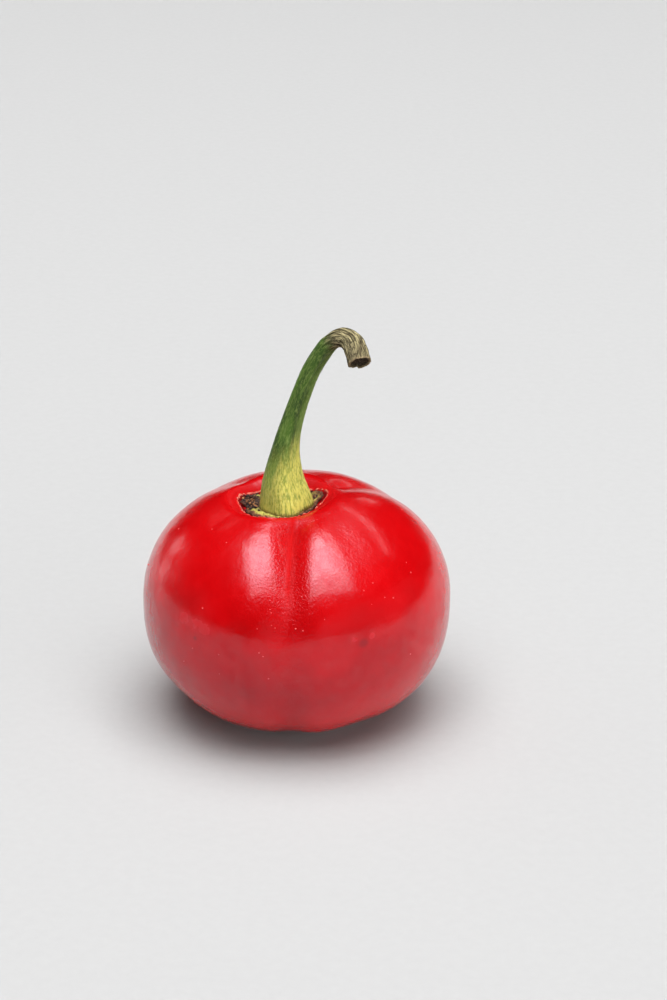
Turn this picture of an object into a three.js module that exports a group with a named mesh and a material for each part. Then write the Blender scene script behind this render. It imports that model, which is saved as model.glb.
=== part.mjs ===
// Cherry chilli pepper, as picked: a round, lobed pod, the corky calyx in the hollow of its crown
// and the curved stalk that it hung from.
// Millimetres, +Z up. The pod stands on its blossom end, and +Y points away from its best side.

import * as THREE from "three";
import { mergeVertices } from "three/addons/utils/BufferGeometryUtils.js";

const { clamp, degToRad, lerp, smoothstep } = THREE.MathUtils;

// ---- Driving dimensions ----

// Pod: a round body whose outline is a superellipse, squarer below its widest level than above it
const POD_RADIUS = 22.3;
const WIDEST_LEVEL = 17.4; // over the surface that the pod stands on
const CROWN_RISE = 17.3; // from the widest level to the crown, before the hollow
const FOOT_DROP = 17.7; // from the widest level down; what would pass the surface is flat
const CROWN_POWER = 2.15;
const FOOT_POWER = 2.4;
const POD_SIDES = 80;
const POD_RINGS = 36; // above the flat spot
const FLAT_RINGS = [1.6, 3.3, 5.2]; // radii of the rings inside the flat spot
const FLAT_SLOPE = -74; // degrees, where the outline leaves the flat spot

// Furrows between the lobes: the angle from +X towards +Y in degrees, the depths at the crown, at the
// widest level and at the foot, the half-width, and how soon the furrow dies away from the crown down
const FURROWS = [
  { angle: 267, crownDepth: 2.1, bellyDepth: 0.9, footDepth: 0.35, halfWidth: 2.1, fade: 1.0 },
  { angle: 303, crownDepth: 0.3, bellyDepth: 0.06, footDepth: 0.3, halfWidth: 3.0, fade: 2.0 },
  { angle: 33, crownDepth: 1.4, bellyDepth: 0.15, footDepth: 0.5, halfWidth: 2.8, fade: 4.0 },
  { angle: 88, crownDepth: 0.3, bellyDepth: 0.04, footDepth: 0.3, halfWidth: 3.0, fade: 4.0 },
  { angle: 142, crownDepth: 0.9, bellyDepth: 0.12, footDepth: 0.5, halfWidth: 2.8, fade: 5.0 },
  { angle: 208, crownDepth: 0.5, bellyDepth: 0.06, footDepth: 0.5, halfWidth: 3.2, fade: 3.0 },
];
const FURROW_POWER = 1.6; // under 2, the flanks meet in a soft V
const FURROW_SPREAD = 0.7; // share by which a furrow is wider at the widest level than at its ends

// Hollow of the crown, a little off the pod's middle, where the calyx sits
const HOLLOW = { x: -2.2, y: -0.3, radius: 6.6, depth: 2.8, steepness: 6 };
const FURROW_START = [5.5, 10]; // distances from the hollow's middle over which the furrows deepen
const MESH_SHIFT = [5, 16]; // distances from the pod's axis over which its rings centre on the hollow

// Blossom end: a small dimple in the middle of the flat spot
const DIMPLE = { radius: 3.2, depth: 0.8 };
const FOOT_FURROW_START = [4.5, 11];

// Calyx: a thin corky disc that follows the floor of the hollow, with teeth that curl up at its edge
const CALYX_RADIUS = 4.5;
const CALYX_THICKNESS = 0.6;
const TEETH = [
  { angle: 14, reach: 1.5, curl: 0.3, halfWidth: 24 },
  { angle: 88, reach: 1.0, curl: 0.3, halfWidth: 20 },
  { angle: 161, reach: 1.8, curl: 0.4, halfWidth: 25 },
  { angle: 213, reach: 0.6, curl: 0.1, halfWidth: 20 },
  { angle: 266, reach: 1.0, curl: 0, halfWidth: 22 },
  { angle: 325, reach: 0.4, curl: 0.1, halfWidth: 20 },
];
const CURL_START = 0.62; // share of the calyx's radius
const CALYX_SIDES = 48;
const CALYX_RIM = 1.05; // the rounded edge stands out this far past the two faces
const CALYX_RING_SHARES = [0.3, 0.5, 0.68, 0.84, 1];

// Stalk: the middle of its route, from the calyx to the cut end
const STALK_ROUTE = [
  [-1.35, -0.6, 32.5],
  [-1.75, -0.5, 36.4],
  [-1.35, -0.2, 41.3],
  [-0.05, -0.1, 46.5],
  [1.85, -0.2, 51.9],
  [3.5, -0.55, 55.1],
  [4.9, -1.1, 57.15],
  [6.45, -2.0, 58.2],
  [7.75, -3.05, 58.05],
  [8.5, -4.3, 57.1],
  [8.95, -5.7, 55.9],
].map((point) => new THREE.Vector3(...point));
const STALK_RADIUS = 1.28;
const FOOT_FLARE = 2.5; // added to the radius at the foot
const FLARE_LENGTH = 7;
const TOE = { angle: 264, reach: 0.8, halfWidth: 42, length: 2.5 }; // the foot spreads on one side
const END_SWELL = 0.36; // added to the radius where the end has dried
const END_SWELL_REACH = [26, 32]; // along the route
const FOOT_SETTLE = 3; // length over which the foot levels out on the calyx
const RIBS = { count: 5, share: 0.055, angle: 272 };
const GROOVE = { angle: 308, depth: 0.28, halfWidth: 17, start: [7, 12], end: [21, 26] };
const WRINKLES = { count: 11, depth: 0.09, reach: [24, 28] };
const CUT_HOLLOW = 0.35; // the cut end is sunk this deep
const STALK_SIDES = 44;
const STALK_STEPS = 46;

const CLEARANCE = 0.3; // between pieces that have grown together

// ---- Shaping ----

// Solid of revolution about +Z from [radius, height] pairs that start and end on the axis,
// with each vertex then moved by reshape(point)
function turned(profile, sides, reshape) {
  const points = profile.map(([radius, height]) => new THREE.Vector2(radius, height));
  const lathe = new THREE.LatheGeometry(points, sides).rotateX(Math.PI / 2);
  lathe.deleteAttribute("normal");
  lathe.deleteAttribute("uv");
  const geometry = mergeVertices(lathe, 1e-4);
  const position = geometry.getAttribute("position");
  const point = new THREE.Vector3();
  for (let i = 0; i < position.count; i++) {
    reshape(point.fromBufferAttribute(position, i));
    position.setXYZ(i, point.x, point.y, point.z);
  }
  geometry.computeVertexNormals();
  return geometry;
}

// A hump of height 1 over a turn, for an angle in degrees and a half-width in degrees
function humpAt(angle, point, halfWidth) {
  const turn = Math.atan2(point.y, point.x) - degToRad(angle);
  const apart = Math.atan2(Math.sin(turn), Math.cos(turn));
  return Math.exp(-((apart / degToRad(halfWidth)) ** 2));
}

// ---- Pod ----

// How deep the furrows are at a place on the pod, for its share of the crown's or foot's height
function furrowDepth(x, y, heightShare, upper) {
  let depth = 0;
  for (const furrow of FURROWS) {
    const along = x * Math.cos(degToRad(furrow.angle)) + y * Math.sin(degToRad(furrow.angle));
    const across = y * Math.cos(degToRad(furrow.angle)) - x * Math.sin(degToRad(furrow.angle));
    if (along <= 0) continue;
    const { crownDepth, bellyDepth, footDepth, fade } = furrow;
    const halfWidth = furrow.halfWidth * (1 + FURROW_SPREAD * (1 - heightShare));
    const rest = upper
      ? (crownDepth - bellyDepth) * heightShare ** fade
      : (footDepth - bellyDepth) * smoothstep(heightShare, 0.3, 0.95);
    depth += (bellyDepth + rest) * Math.exp(-((Math.abs(across) / halfWidth) ** FURROW_POWER));
  }
  return depth;
}

// The skin over or under a place in plan: the superellipse, pressed in by the furrows along its normal
function skin(x, y, upper) {
  const rise = upper ? CROWN_RISE : FOOT_DROP;
  const power = upper ? CROWN_POWER : FOOT_POWER;
  const radius = Math.min(Math.hypot(x, y), POD_RADIUS);
  const heightShare = Math.max(1 - (radius / POD_RADIUS) ** power, 0) ** (1 / power);
  const outward = (radius / POD_RADIUS) ** (power - 1) / POD_RADIUS;
  const upward = heightShare ** (power - 1) / rise;
  const length = Math.hypot(outward, upward);
  const fromHollow = Math.hypot(x - HOLLOW.x, y - HOLLOW.y);
  const start = upper
    ? smoothstep(fromHollow, ...FURROW_START)
    : smoothstep(radius, ...FOOT_FURROW_START);
  const depth = furrowDepth(x, y, heightShare, upper) * start;
  const inward = radius > 0 ? 1 - (depth * outward) / length / radius : 1;
  const height = rise * heightShare - (depth * upward) / length;
  if (upper) {
    const sunk = HOLLOW.depth * Math.exp(-((fromHollow / HOLLOW.radius) ** HOLLOW.steepness));
    return new THREE.Vector3(x * inward, y * inward, WIDEST_LEVEL + height - sunk);
  }
  const dimple = DIMPLE.depth * (1 - smoothstep(radius, 0, DIMPLE.radius));
  return new THREE.Vector3(x * inward, y * inward, Math.max(WIDEST_LEVEL - height, 0) + dimple);
}

function podGeometry() {
  const profile = [[0, -1], ...FLAT_RINGS.map((radius) => [radius, -1])];
  for (let ring = 0; ring < POD_RINGS; ring++) {
    const slope = degToRad(lerp(FLAT_SLOPE, 90, ring / POD_RINGS));
    const power = slope < 0 ? FOOT_POWER : CROWN_POWER;
    profile.push([POD_RADIUS * Math.cos(slope) ** (2 / power), Math.sin(slope)]);
  }
  profile.push([0, 1]);
  return turned(profile, POD_SIDES, (point) => {
    const upper = point.z >= 0;
    const shift = upper ? 1 - smoothstep(Math.hypot(point.x, point.y), ...MESH_SHIFT) : 0;
    point.copy(skin(point.x + HOLLOW.x * shift, point.y + HOLLOW.y * shift, upper));
  });
}

// ---- Calyx ----

// Radius of the calyx and the height of its curl in the direction of a point from its middle
function calyxEdge(point) {
  const edge = { radius: CALYX_RADIUS, curl: 0 };
  for (const tooth of TEETH) {
    const hump = humpAt(tooth.angle, point, tooth.halfWidth);
    edge.radius += tooth.reach * hump;
    edge.curl += tooth.curl * hump;
  }
  return edge;
}

// Underside of the calyx, for a point from its middle; level 1 is its upper face
function calyxHeight(point, level) {
  const edge = calyxEdge(point);
  const share = Math.hypot(point.x, point.y) / edge.radius;
  const curl = edge.curl * smoothstep(share, CURL_START, 1);
  const floor = skin(HOLLOW.x + point.x, HOLLOW.y + point.y, true).z;
  return floor + CLEARANCE + curl + level * CALYX_THICKNESS;
}

function calyxGeometry() {
  const under = CALYX_RING_SHARES.map((share) => [share, 0]);
  const over = CALYX_RING_SHARES.map((share) => [share, 1]).reverse();
  const profile = [[0, 0], ...under, [CALYX_RIM, 0.5], ...over, [0, 1]];
  return turned(profile, CALYX_SIDES, (point) => {
    const level = point.z;
    const { radius } = calyxEdge(point);
    point.set(point.x * radius, point.y * radius, 0);
    point.z = calyxHeight(point, level);
    point.x += HOLLOW.x;
    point.y += HOLLOW.y;
  });
}

// ---- Stalk ----

const route = new THREE.CatmullRomCurve3(STALK_ROUTE);
const routeLength = route.getLength();
const frames = route.computeFrenetFrames(STALK_STEPS);

function stalkRadius(along) {
  const flare = FOOT_FLARE * Math.exp(-((along / FLARE_LENGTH) ** 1.5));
  return STALK_RADIUS + flare + END_SWELL * smoothstep(along, ...END_SWELL_REACH);
}

// Ribs all round, a deep groove beside the best side, the wrinkles of the dry end and the foot's toe
function stalkRelief(point, along) {
  const turn = Math.atan2(point.y, point.x);
  const ribs = RIBS.share * stalkRadius(along) * Math.cos(RIBS.count * (turn - degToRad(RIBS.angle)));
  const grooveReach = smoothstep(along, ...GROOVE.start) * (1 - smoothstep(along, ...GROOVE.end));
  const groove = GROOVE.depth * grooveReach * humpAt(GROOVE.angle, point, GROOVE.halfWidth);
  const wrinkles = WRINKLES.depth * smoothstep(along, ...WRINKLES.reach) * Math.cos(WRINKLES.count * turn);
  const toe = TOE.reach * Math.exp(-along / TOE.length) * humpAt(TOE.angle, point, TOE.halfWidth);
  return ribs - groove + wrinkles + toe;
}

// Bends a point of the straight stalk to its place along the route
function onRoute(point, along) {
  const step = Math.min(Math.floor((along / routeLength) * STALK_STEPS), STALK_STEPS - 1);
  const part = (along / routeLength) * STALK_STEPS - step;
  const sideways = frames.binormals[step].clone().lerp(frames.binormals[step + 1], part);
  const backwards = frames.normals[step].clone().lerp(frames.normals[step + 1], part).negate();
  const { x, y } = point;
  point.copy(route.getPointAt(along / routeLength));
  point.addScaledVector(sideways, x).addScaledVector(backwards, y);
}

function stalkGeometry() {
  const profile = [[0, 0], [stalkRadius(0) * 0.4, 0], [stalkRadius(0) * 0.75, 0]];
  for (let step = 0; step <= STALK_STEPS; step++) {
    const along = (routeLength * step) / STALK_STEPS;
    profile.push([stalkRadius(along), along]);
  }
  const endRadius = stalkRadius(routeLength);
  profile.push([endRadius * 0.78, routeLength - CUT_HOLLOW * 0.4]);
  profile.push([endRadius * 0.45, routeLength - CUT_HOLLOW], [0, routeLength - CUT_HOLLOW]);
  return turned(profile, STALK_SIDES, (point) => {
    const along = clamp(point.z, 0, routeLength);
    const radius = Math.hypot(point.x, point.y);
    const relief = stalkRelief(point, along) * (radius / stalkRadius(along));
    if (radius > 0) point.multiply(new THREE.Vector3(1 + relief / radius, 1 + relief / radius, 1));
    onRoute(point, along);
    const fromMiddle = new THREE.Vector3(point.x - HOLLOW.x, point.y - HOLLOW.y, 0);
    const seat = calyxHeight(fromMiddle, 1) + CLEARANCE;
    if (along < FOOT_SETTLE) point.z = lerp(seat + along, point.z, along / FOOT_SETTLE);
  });
}

// ---- Assembly ----

function piece(name, geometry, color, roughness) {
  const mesh = new THREE.Mesh(geometry, new THREE.MeshStandardMaterial({ color, roughness, metalness: 0 }));
  mesh.name = name;
  return mesh;
}

const pepper = new THREE.Group();
pepper.add(piece("pod", podGeometry(), 0xc9060d, 0.2));
pepper.add(piece("calyx", calyxGeometry(), 0x5b4020, 0.85));
pepper.add(piece("stalk", stalkGeometry(), 0x6f9440, 0.55));

export default pepper;
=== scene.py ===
import math
import random
from typing import NamedTuple

import bmesh
import bpy
from bpy.props import FloatProperty, FloatVectorProperty, IntProperty, PointerProperty
from bpy.types import Operator, Panel, PropertyGroup
from mathutils import Euler, Matrix, Vector, noise
from mathutils.geometry import interpolate_bezier


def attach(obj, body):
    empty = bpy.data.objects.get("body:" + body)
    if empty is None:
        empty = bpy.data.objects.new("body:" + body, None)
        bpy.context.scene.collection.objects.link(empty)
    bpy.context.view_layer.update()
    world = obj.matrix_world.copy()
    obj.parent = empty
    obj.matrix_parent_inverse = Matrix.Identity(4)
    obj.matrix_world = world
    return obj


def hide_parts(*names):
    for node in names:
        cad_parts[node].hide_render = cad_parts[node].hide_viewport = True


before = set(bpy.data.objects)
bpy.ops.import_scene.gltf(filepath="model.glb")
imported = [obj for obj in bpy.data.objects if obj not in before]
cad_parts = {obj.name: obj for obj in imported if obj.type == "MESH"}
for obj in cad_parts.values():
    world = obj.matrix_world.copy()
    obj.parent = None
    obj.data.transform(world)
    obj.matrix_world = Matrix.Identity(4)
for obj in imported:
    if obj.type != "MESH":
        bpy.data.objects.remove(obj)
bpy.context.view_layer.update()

bl_info = {
    "name": "Cherry Chilli Pepper",
    "version": (1, 0, 0),
    "blender": (4, 5, 0),
    "location": "3D View > Sidebar > Pepper",
    "description": "A round red chilli pepper with its calyx and stalk, on a pale studio floor",
    "category": "Add Mesh",
}

MM = 0.001

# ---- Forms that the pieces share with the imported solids, in metres and degrees ----


class Furrow:
    """A groove between two lobes: its direction from the axis, its depth at the crown, at the widest
    level and at the foot, its half-width, and how soon it dies away from the crown down."""

    def __init__(self, angle, crown_depth, belly_depth, foot_depth, half_width, fade):
        self.outward = Vector((math.cos(math.radians(angle)), math.sin(math.radians(angle))))
        self.crown_depth = crown_depth
        self.belly_depth = belly_depth
        self.foot_depth = foot_depth
        self.half_width = half_width
        self.fade = fade

    def reach(self, x, y):
        """How far a place in plan lies along the furrow, and across it."""
        return x * self.outward.x + y * self.outward.y, abs(y * self.outward.x - x * self.outward.y)


FURROWS = (
    Furrow(267, 2.1 * MM, 0.9 * MM, 0.35 * MM, 2.1 * MM, 1.0),
    Furrow(303, 0.3 * MM, 0.06 * MM, 0.3 * MM, 3.0 * MM, 2.0),
    Furrow(33, 1.4 * MM, 0.15 * MM, 0.5 * MM, 2.8 * MM, 4.0),
    Furrow(88, 0.3 * MM, 0.04 * MM, 0.3 * MM, 3.0 * MM, 4.0),
    Furrow(142, 0.9 * MM, 0.12 * MM, 0.5 * MM, 2.8 * MM, 5.0),
    Furrow(208, 0.5 * MM, 0.06 * MM, 0.5 * MM, 3.2 * MM, 3.0),
)
FURROW_POWER = 1.5  # at the crown: under 2, the flanks meet in a V
FURROW_ROUNDING = 0.5  # added to the power at the widest level and below, where the bottom is round
FURROW_SPREAD = 0.7  # share by which a furrow is wider at the widest level than at its ends
FURROW_START = (5.5 * MM, 10 * MM)  # distances from the hollow over which the furrows deepen
FOOT_FURROW_START = (4.5 * MM, 11 * MM)
FOOT_FURROW_FADE = (0.3, 0.95)  # shares of the height over which they reach their foot depth
CROWN_POWER = 2.15  # of the superellipse above the widest level
FOOT_POWER = 2.4
FLAT_SLOPE = -74  # where the outline leaves the flat spot that the pod stands on
HOLLOW = Vector((-2.2 * MM, -0.3 * MM, 0))
HOLLOW_RADIUS = 6.6 * MM
HOLLOW_STEEPNESS = 6  # the higher, the flatter its floor
RING_SHIFT = (5 * MM, 16 * MM)  # distances from the axis over which the rings centre on the hollow
DIMPLE_RADIUS = 3.2 * MM
DIMPLE_DEPTH = 0.8 * MM

# Teeth of the calyx: angle, reach past its round edge, curl and half-width; the tooth at 161 degrees
# has crumbled and reaches less far than its solid
TEETH = (
    (14, 1.5 * MM, 0.3 * MM, 24),
    (88, 1.0 * MM, 0.3 * MM, 20),
    (161, 1.0 * MM, 0.4 * MM, 25),
    (213, 0.6 * MM, 0.1 * MM, 20),
    (266, 1.0 * MM, 0, 22),
    (325, 0.4 * MM, 0.1 * MM, 20),
)
CURL_START = 0.62  # share of the calyx's radius

# Middle of the stalk, from the calyx to the cut end
STALK_ROUTE = (
    Vector((-1.35, -0.6, 32.5)) * MM,
    Vector((-1.75, -0.5, 36.4)) * MM,
    Vector((-1.35, -0.2, 41.3)) * MM,
    Vector((-0.05, -0.1, 46.5)) * MM,
    Vector((1.85, -0.2, 51.9)) * MM,
    Vector((3.5, -0.55, 55.1)) * MM,
    Vector((4.9, -1.1, 57.15)) * MM,
    Vector((6.45, -2.0, 58.2)) * MM,
    Vector((7.75, -3.05, 58.05)) * MM,
    Vector((8.5, -4.3, 57.1)) * MM,
    Vector((8.95, -5.7, 55.9)) * MM,
)
FLARE_LENGTH = 7 * MM
END_SWELL_REACH = (26 * MM, 32 * MM)
FOOT_SETTLE = 3 * MM  # length over which the foot levels out on the calyx
TOE = (264, 0.8 * MM, 42, 2.5 * MM)  # angle, reach, half-width and length of the foot's front
RIB_ANGLE = 272
GROOVE = (308, 0.28 * MM, 17)  # angle, depth and half-width
GROOVE_START = (7 * MM, 12 * MM)
GROOVE_END = (21 * MM, 26 * MM)


# ---- Settings ----


def tint(red, green, blue):
    """A colour given as 0 to 255 on a screen, as the linear light that the shaders use."""
    return tuple(((level / 255 + 0.055) / 1.055) ** 2.4 for level in (red, green, blue))


def length(name, description, default):
    return FloatProperty(
        name=name, description=description, default=default, min=0, unit="LENGTH", precision=5
    )


def amount(name, description, default, low=0):
    return FloatProperty(name=name, description=description, default=default, min=low)


def colour(name, description, default):
    return FloatVectorProperty(
        name=name, description=description, default=default, min=0, max=1, subtype="COLOR"
    )


class PodSettings(PropertyGroup):
    radius: length("Radius", "Widest radius of the pod, at a lobe", 22.3 * MM)
    widest_level: length("Widest Level", "Height of the widest part over the floor", 17.4 * MM)
    crown_rise: length("Crown Rise", "From the widest level up to the crown", 17.3 * MM)
    foot_drop: length("Foot Drop", "From the widest level down to the blossom end", 17.7 * MM)
    hollow_depth: length("Hollow Depth", "How deep the calyx sits in the crown", 2.8 * MM)
    waviness: length("Waviness", "Height of the broad, faint swells of the skin", 0.07 * MM)
    lip_height: length("Lip Height", "Height of the torn edge of skin round the calyx", 0.3 * MM)
    sides: IntProperty(name="Sides", description="Faces round the pod", default=360, min=32)
    ripe: colour("Ripe Red", "Colour of the skin", tint(168, 0, 6))
    # Deep red is the dark patches' own colour, and is also painted shade on the shoulders and in the furrows
    deep: colour("Deep Red", "Colour of the shoulders, the furrows and the dark patches", tint(148, 0, 4))
    torn: colour("Torn Skin", "Colour of the dry, torn edge round the calyx", tint(184, 96, 82))
    # the specks' paler red is partly their own colour, partly a painted glint
    speck: colour("Speck", "Colour of the pale specks", tint(206, 82, 84))


class CalyxSettings(PropertyGroup):
    radius: length("Radius", "Radius of the calyx between its teeth", 4.5 * MM)
    thickness: length("Thickness", "Thickness of the calyx", 0.6 * MM)
    roughness: length("Corkiness", "Height of the corky lumps on the calyx", 0.2 * MM)
    bark: colour("Bark Brown", "Colour of the dry edge", tint(82, 42, 16))
    cork: colour("Cork", "Colour of the crumbling cork", tint(150, 100, 58))
    olive: colour("Olive", "Darker colour where the calyx still lives", tint(104, 102, 38))
    rot: colour("Dead Brown", "Darkest brown of the dead parts", tint(26, 14, 10))


class StalkSettings(PropertyGroup):
    radius: length("Radius", "Radius of the stalk in the middle", 1.28 * MM)
    flare: length("Flare", "Added to the radius at the foot", 2.5 * MM)
    end_swell: length("End Swell", "Added to the radius at the dry end", 0.36 * MM)
    grain: length("Grain", "Depth of the fine grain along the stalk", 0.035 * MM)
    foot: colour("Foot", "Yellow-green of the foot", tint(174, 165, 78))
    neck: colour("Neck", "Green of the middle", tint(62, 88, 28))
    shade: colour("Deep Green", "Darkest green streaks", tint(32, 54, 14))
    streak: colour("Pale Streak", "Pale streaks along the ribs", tint(112, 130, 68))
    dry: colour("Dry End", "Straw colour of the dried end", tint(146, 136, 100))
    cut: colour("Cut End", "Dark pith of the cut end", tint(30, 24, 15))


class StageSettings(PropertyGroup):
    floor: colour("Floor", "Colour of the floor", (0.27, 0.27, 0.27))
    softbox: amount("Softbox", "Brightness of the overhead softbox", 7.8)
    fill: amount("Fill", "Brightness of the fill lights that nothing mirrors", 4.6)
    panels: amount("Panels", "Brightness of the pale panels round the pepper", 1.0)
    lens: amount("Lens", "Focal length of the camera in millimetres", 100, 1)


# ---- Maths ----


def smoothstep(value, low, high):
    part = min(max((value - low) / (high - low), 0), 1)
    return part * part * (3 - 2 * part)


def hump(turn, angle, half_width):
    """A rise to 1 where a turn in radians meets an angle in degrees, over a half-width in degrees."""
    apart = math.remainder(turn - math.radians(angle), math.tau)
    return math.exp(-((apart / math.radians(half_width)) ** 2))


def ripple(x, y, z, size):
    """Smooth noise from -1 to 1 with bumps of about the given size."""
    return noise.noise(Vector((x, y, z)) / size)


# ---- Pod ----

FLAT_RINGS = (0, 0.8 * MM, 1.6 * MM, 2.4 * MM, 3.3 * MM, 4.2 * MM, 5.2 * MM)  # out to where the pod stands
FOOT_RINGS = 80
CROWN_RINGS = 96
LIP_RINGS = 52
LIP_REACH = (3.4 * MM, 8.8 * MM)  # radii of the finest rings, for the torn skin round the calyx
COVERED_RINGS = (2.2 * MM, 1.1 * MM, 0)  # under the calyx
LIP_OUT = 0.85 * MM  # from the calyx's edge to the crest of the torn skin
LIP_FRONT = (256, 1.3 * MM, 18)  # angle, added distance and half-width where the crest stands off
LIP_HALF_WIDTH = 0.22 * MM
# Waves, here and below: radius of the circle that noise is read on
LIP_STRENGTH = (0.6, 0.9, 12)  # even part, broken part and its waves
LIP_JITTERS = ((0.22 * MM, 4.5), (0.1 * MM, 13))  # reach and waves
CREVICE_OUT = 0.4 * MM  # from the calyx's edge to the bottom of the crevice beside it
CREVICE_HALF_WIDTH = 0.3 * MM
CREVICE_DEPTH = 0.28 * MM
PUCKER_HEIGHT = 0.035 * MM  # creases of the skin in the flank of the hollow
PUCKER_WAVES = 11
PUCKER_LENGTH = 2.5 * MM
PUCKER_START = (0.4 * MM, 1.1 * MM)
PUCKER_END = (1.6 * MM, 3.6 * MM)
SWELL_SIZE = 5 * MM
PITTED_DEPTH = 1.5 * MM  # of a furrow that is pitted all over, halfway up
POD_MARKS = ("torn", "crevice", "furrow", "dull", "bruise", "rub", "height")
VALLEY_HALF_WIDTH = 0.75 * MM  # of the dull line along the bottom of the front furrow
VALLEY_END = (22 * MM, 27 * MM)  # heights over which it fades in
DULL_SHARE = 0.95  # how much of its gloss the skin loses round the calyx
DULL_END = (1.2 * MM, 3.4 * MM)  # distances from the calyx's edge over which the gloss comes back

# Marks on the skin: angle from +X towards +Y, height over the floor and radius
BRUISES = ((231, 19.3 * MM, 0.4 * MM), (295.5, 19.9 * MM, 0.8 * MM), (63, 15 * MM, 0.7 * MM))
RUBS = (
    (225, 21.6 * MM, 1.3 * MM), (231, 20.9 * MM, 1.5 * MM), (236, 21.2 * MM, 1.0 * MM),
    (292, 20.7 * MM, 0.9 * MM), (299, 20.6 * MM, 0.6 * MM), (120, 22 * MM, 1.6 * MM),
)


def furrow_depth(x, y, height_share, upper):
    """How deep all furrows together press a place in plan, 0 to 1 of the way up or down the pod."""
    depth = 0
    for furrow in FURROWS:
        along, across = furrow.reach(x, y)
        if along <= 0:
            continue
        half_width = furrow.half_width * (1 + FURROW_SPREAD * (1 - height_share))
        power = FURROW_POWER + FURROW_ROUNDING * (1 - height_share if upper else 1)
        if upper:
            rest = (furrow.crown_depth - furrow.belly_depth) * height_share**furrow.fade
        else:
            rest = (furrow.foot_depth - furrow.belly_depth) * smoothstep(height_share, *FOOT_FURROW_FADE)
        depth += (furrow.belly_depth + rest) * math.exp(-((across / half_width) ** power))
    return depth


def valley(place):
    """How near a place is to the bottom of the deep front furrow above the widest level, from 0 to 1."""
    along, across = FURROWS[0].reach(place.x, place.y)
    if along <= 0:
        return 0
    return smoothstep(place.z, *VALLEY_END) * math.exp(-((across / VALLEY_HALF_WIDTH) ** 2))


def skin(pod, x, y, upper, swell=0):
    """The skin over or under a place in plan: a superellipse pressed in by the furrows along its
    normal, raised by a swell, and sunk at the hollow of the crown and the dimple of the foot."""
    rise = pod.crown_rise if upper else pod.foot_drop
    power = CROWN_POWER if upper else FOOT_POWER
    radius = min(math.hypot(x, y), pod.radius)
    height_share = max(1 - (radius / pod.radius) ** power, 0) ** (1 / power)
    outward = (radius / pod.radius) ** (power - 1) / pod.radius
    upward = height_share ** (power - 1) / rise
    size = math.hypot(outward, upward)
    from_hollow = math.hypot(x - HOLLOW.x, y - HOLLOW.y)
    start = smoothstep(from_hollow, *FURROW_START) if upper else smoothstep(radius, *FOOT_FURROW_START)
    depth = furrow_depth(x, y, height_share, upper) * start - swell
    inward = 1 - depth * outward / size / radius if radius > 0 else 1
    height = rise * height_share - depth * upward / size
    if upper:
        sunk = pod.hollow_depth * math.exp(-((from_hollow / HOLLOW_RADIUS) ** HOLLOW_STEEPNESS))
        return Vector((x * inward, y * inward, pod.widest_level + height - sunk))
    dimple = DIMPLE_DEPTH * (1 - smoothstep(radius, 0, DIMPLE_RADIUS))
    return Vector((x * inward, y * inward, max(pod.widest_level - height, 0) + dimple))


def lip(calyx, x, y):
    """Crest of the torn skin, crevice, puckers and dullness round the calyx at a place in plan."""
    from_middle = Vector((x, y, 0)) - HOLLOW
    turn = math.atan2(from_middle.y, from_middle.x)
    circle = Vector((math.cos(turn), math.sin(turn), 0))
    jitter = sum(reach * noise.noise(circle * waves) for reach, waves in LIP_JITTERS)
    outside = from_middle.length - calyx_edge(calyx, turn)[0] + jitter
    even, broken, waves = LIP_STRENGTH
    strength = even + broken * noise.noise(circle * waves + Vector((0, 0, 7)))
    crest_out = LIP_OUT + LIP_FRONT[1] * hump(turn, LIP_FRONT[0], LIP_FRONT[2])
    crest = strength * math.exp(-(((outside - crest_out) / LIP_HALF_WIDTH) ** 2))
    crevice = math.exp(-(((outside - CREVICE_OUT) / CREVICE_HALF_WIDTH) ** 2))
    creased = noise.noise(circle * PUCKER_WAVES + Vector((0, 0, outside / PUCKER_LENGTH)))
    pucker = creased * smoothstep(outside, *PUCKER_START) * (1 - smoothstep(outside, *PUCKER_END))
    dull = DULL_SHARE * (1 - smoothstep(outside, *DULL_END))
    return crest, crevice, pucker, dull


def marked(marks, place):
    """How strongly a place is marked, from 0 to 1."""
    strength = 0
    for angle, height, radius in marks:
        apart = math.remainder(math.atan2(place.y, place.x) - math.radians(angle), math.tau)
        aside = apart * math.hypot(place.x, place.y)
        strength += math.exp(-(math.hypot(aside, place.z - height) / radius) ** 2)
    return min(strength, 1)


def pod_profile(pod):
    """Radius and side (-1 below, 1 above the widest level) of each ring, from the foot to the crown."""
    profile = [(radius, -1) for radius in FLAT_RINGS]
    for ring in range(FOOT_RINGS):
        slope = math.radians(FLAT_SLOPE * (1 - ring / FOOT_RINGS))
        profile.append((pod.radius * math.cos(slope) ** (2 / FOOT_POWER), -1))
    lip_slope = math.acos((LIP_REACH[1] / pod.radius) ** (CROWN_POWER / 2))
    for ring in range(CROWN_RINGS):
        slope = lip_slope * ring / CROWN_RINGS
        profile.append((pod.radius * math.cos(slope) ** (2 / CROWN_POWER), 1))
    for ring in range(LIP_RINGS + 1):
        part = ring / LIP_RINGS
        profile.append((LIP_REACH[1] * (1 - part) + LIP_REACH[0] * part, 1))
    return profile + [(radius, 1) for radius in COVERED_RINGS]


def spun(profile, sides):
    """A closed body of revolution about +Z, from radius and height pairs that start and end on the axis."""
    bm = bmesh.new()
    corners = [bm.verts.new((radius, 0, height)) for radius, height in profile]
    edges = [bm.edges.new(pair) for pair in zip(corners, corners[1:])]
    bmesh.ops.spin(
        bm, geom=corners + edges, cent=(0, 0, 0), axis=(0, 0, 1), angle=math.tau, steps=sides, use_merge=True
    )
    bmesh.ops.remove_doubles(bm, verts=bm.verts, dist=1e-7)
    bmesh.ops.recalc_face_normals(bm, faces=bm.faces)
    return bm


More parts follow.
